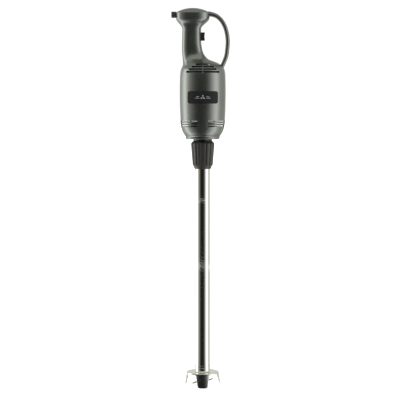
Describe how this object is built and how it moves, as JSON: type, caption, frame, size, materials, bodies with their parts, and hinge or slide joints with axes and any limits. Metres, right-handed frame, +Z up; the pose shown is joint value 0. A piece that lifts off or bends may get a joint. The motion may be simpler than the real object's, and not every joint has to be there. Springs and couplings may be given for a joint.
{
  "type": "immersion blender",
  "caption": "Commercial stick blender with a grip neck and hoop handle over a round motor body, a fluted quick-release collar, a long steel shaft and a four-footed blade guard.",
  "frame": {"origin": "on the spindle axis, in the plane of the seat under the end cap by which the tool hangs in its bracket", "axes": "+Z up along the spindle from the blade to the head; +X towards the trigger and hoop handle; -Y is the front, with the nameplate"},
  "size_m": [0.1421, 0.1122, 0.9239],
  "materials": {
    "housing_plastic": "fine satin moulding, dark grey",
    "hoop_plastic": "fine satin moulding, dark grey",
    "cap_plastic": "satin moulding, charcoal",
    "spigot_plastic": "glossy black moulding",
    "nameplate_film": "near-black printed label film",
    "soft_black": "matt black elastomer",
    "trigger_plastic": "satin black moulding",
    "inner_plastic": "plain black glass-filled moulding",
    "pale_plastic": "natural nylon",
    "lead_insulation": "red-brown cable sheath",
    "circuit_board": "green laminate",
    "capacitor_film": "yellow film wrap",
    "lamination_steel": "stacked laminations",
    "copper_winding": "enamelled copper",
    "cast_alloy": "die-cast alloy",
    "brush_brass": "stamped brass",
    "carbon": "sintered carbon",
    "zinc_steel": "zinc-plated steel",
    "ground_steel": "ground steel",
    "polished_stainless": "polished stainless steel",
    "satin_stainless": "satin stainless steel",
    "bronze": "sintered bronze",
    "collar_plastic": "hard moulding, warm black",
    "blade_steel": "ground and honed stainless steel"
  },
  "bodies": {
    "power_unit": {"front_housing": "housing_plastic", "rear_housing": "housing_plastic", "end_cap": "cap_plastic", "threaded_spigot": "spigot_plastic", "nameplate": "nameplate_film", "hoop_handle": "hoop_plastic", "cord_gland": "soft_black", "cord_clamp": "inner_plastic", "housing_screws": "zinc_steel", "stator_stack": "lamination_steel", "left_field_coil": "copper_winding", "right_field_coil": "copper_winding", "motor_rods": "zinc_steel", "stator_spacers": "cast_alloy", "upper_bracket": "cast_alloy", "brush_holders": "brush_brass", "carbon_brushes": "carbon", "brush_springs": "ground_steel", "fan_shroud": "inner_plastic", "dust_shield": "inner_plastic", "lower_bearing": "ground_steel", "upper_bearing": "ground_steel", "control_board": "circuit_board", "suppression_capacitor": "capacitor_film", "terminal_block": "pale_plastic", "switch_body": "inner_plastic", "internal_leads": "lead_insulation"},
    "rotor": {"motor_shaft": "ground_steel", "armature_stack": "lamination_steel", "armature_windings": "copper_winding", "commutator": "copper_winding", "cooling_fan": "inner_plastic", "drive_coupling": "zinc_steel"},
    "trigger_unit": {"trigger": "trigger_plastic", "switch_plunger": "pale_plastic", "trigger_spring": "ground_steel"},
    "mixing_shaft": {"shaft_tube": "polished_stainless", "shaft_head": "satin_stainless", "head_bearing": "ground_steel", "bearing_circlip": "zinc_steel", "mid_bush": "bronze", "bell_guard": "polished_stainless", "lower_bush": "bronze", "shaft_seal": "soft_black"},
    "collar": {"coupling_collar": "collar_plastic", "collar_washer": "pale_plastic"},
    "spindle": {"drive_shaft": "ground_steel", "drive_dog": "zinc_steel", "shaft_sleeve": "satin_stainless", "blade": "blade_steel", "blade_nut": "satin_stainless"}
  },
  "joints": [
    {"name": "rotor_spin", "type": "hinge", "parent": "power_unit", "child": "rotor", "pos_m": [0, 0, 0], "axis": [0, 0, 1], "continuous": true},
    {"name": "trigger_press", "type": "slide", "parent": "power_unit", "child": "trigger_unit", "axis": [-1, 0, 0], "range_m": [0, 0.004], "stiffness_N_per_m": 500, "springref_m": -0.002, "deforming": ["trigger_spring"]},
    {"name": "shaft_drop", "type": "slide", "parent": "power_unit", "child": "mixing_shaft", "axis": [0, 0, -1], "range_m": [0, 0.015]},
    {"name": "collar_turn", "type": "hinge", "parent": "mixing_shaft", "child": "collar", "pos_m": [0, 0, -0.04], "axis": [0, 0, -1], "range_deg": [0, 1080]},
    {"name": "blade_spin", "type": "hinge", "parent": "mixing_shaft", "child": "spindle", "pos_m": [0, 0, -0.3], "axis": [0, 0, 1], "continuous": true}
  ],
  "couplings": [
    {"joint": "blade_spin", "follows": "rotor_spin", "ratio": 1},
    {"joint": "collar_turn", "follows": "shaft_drop", "rad_per_m": 1256.6}
  ]
}
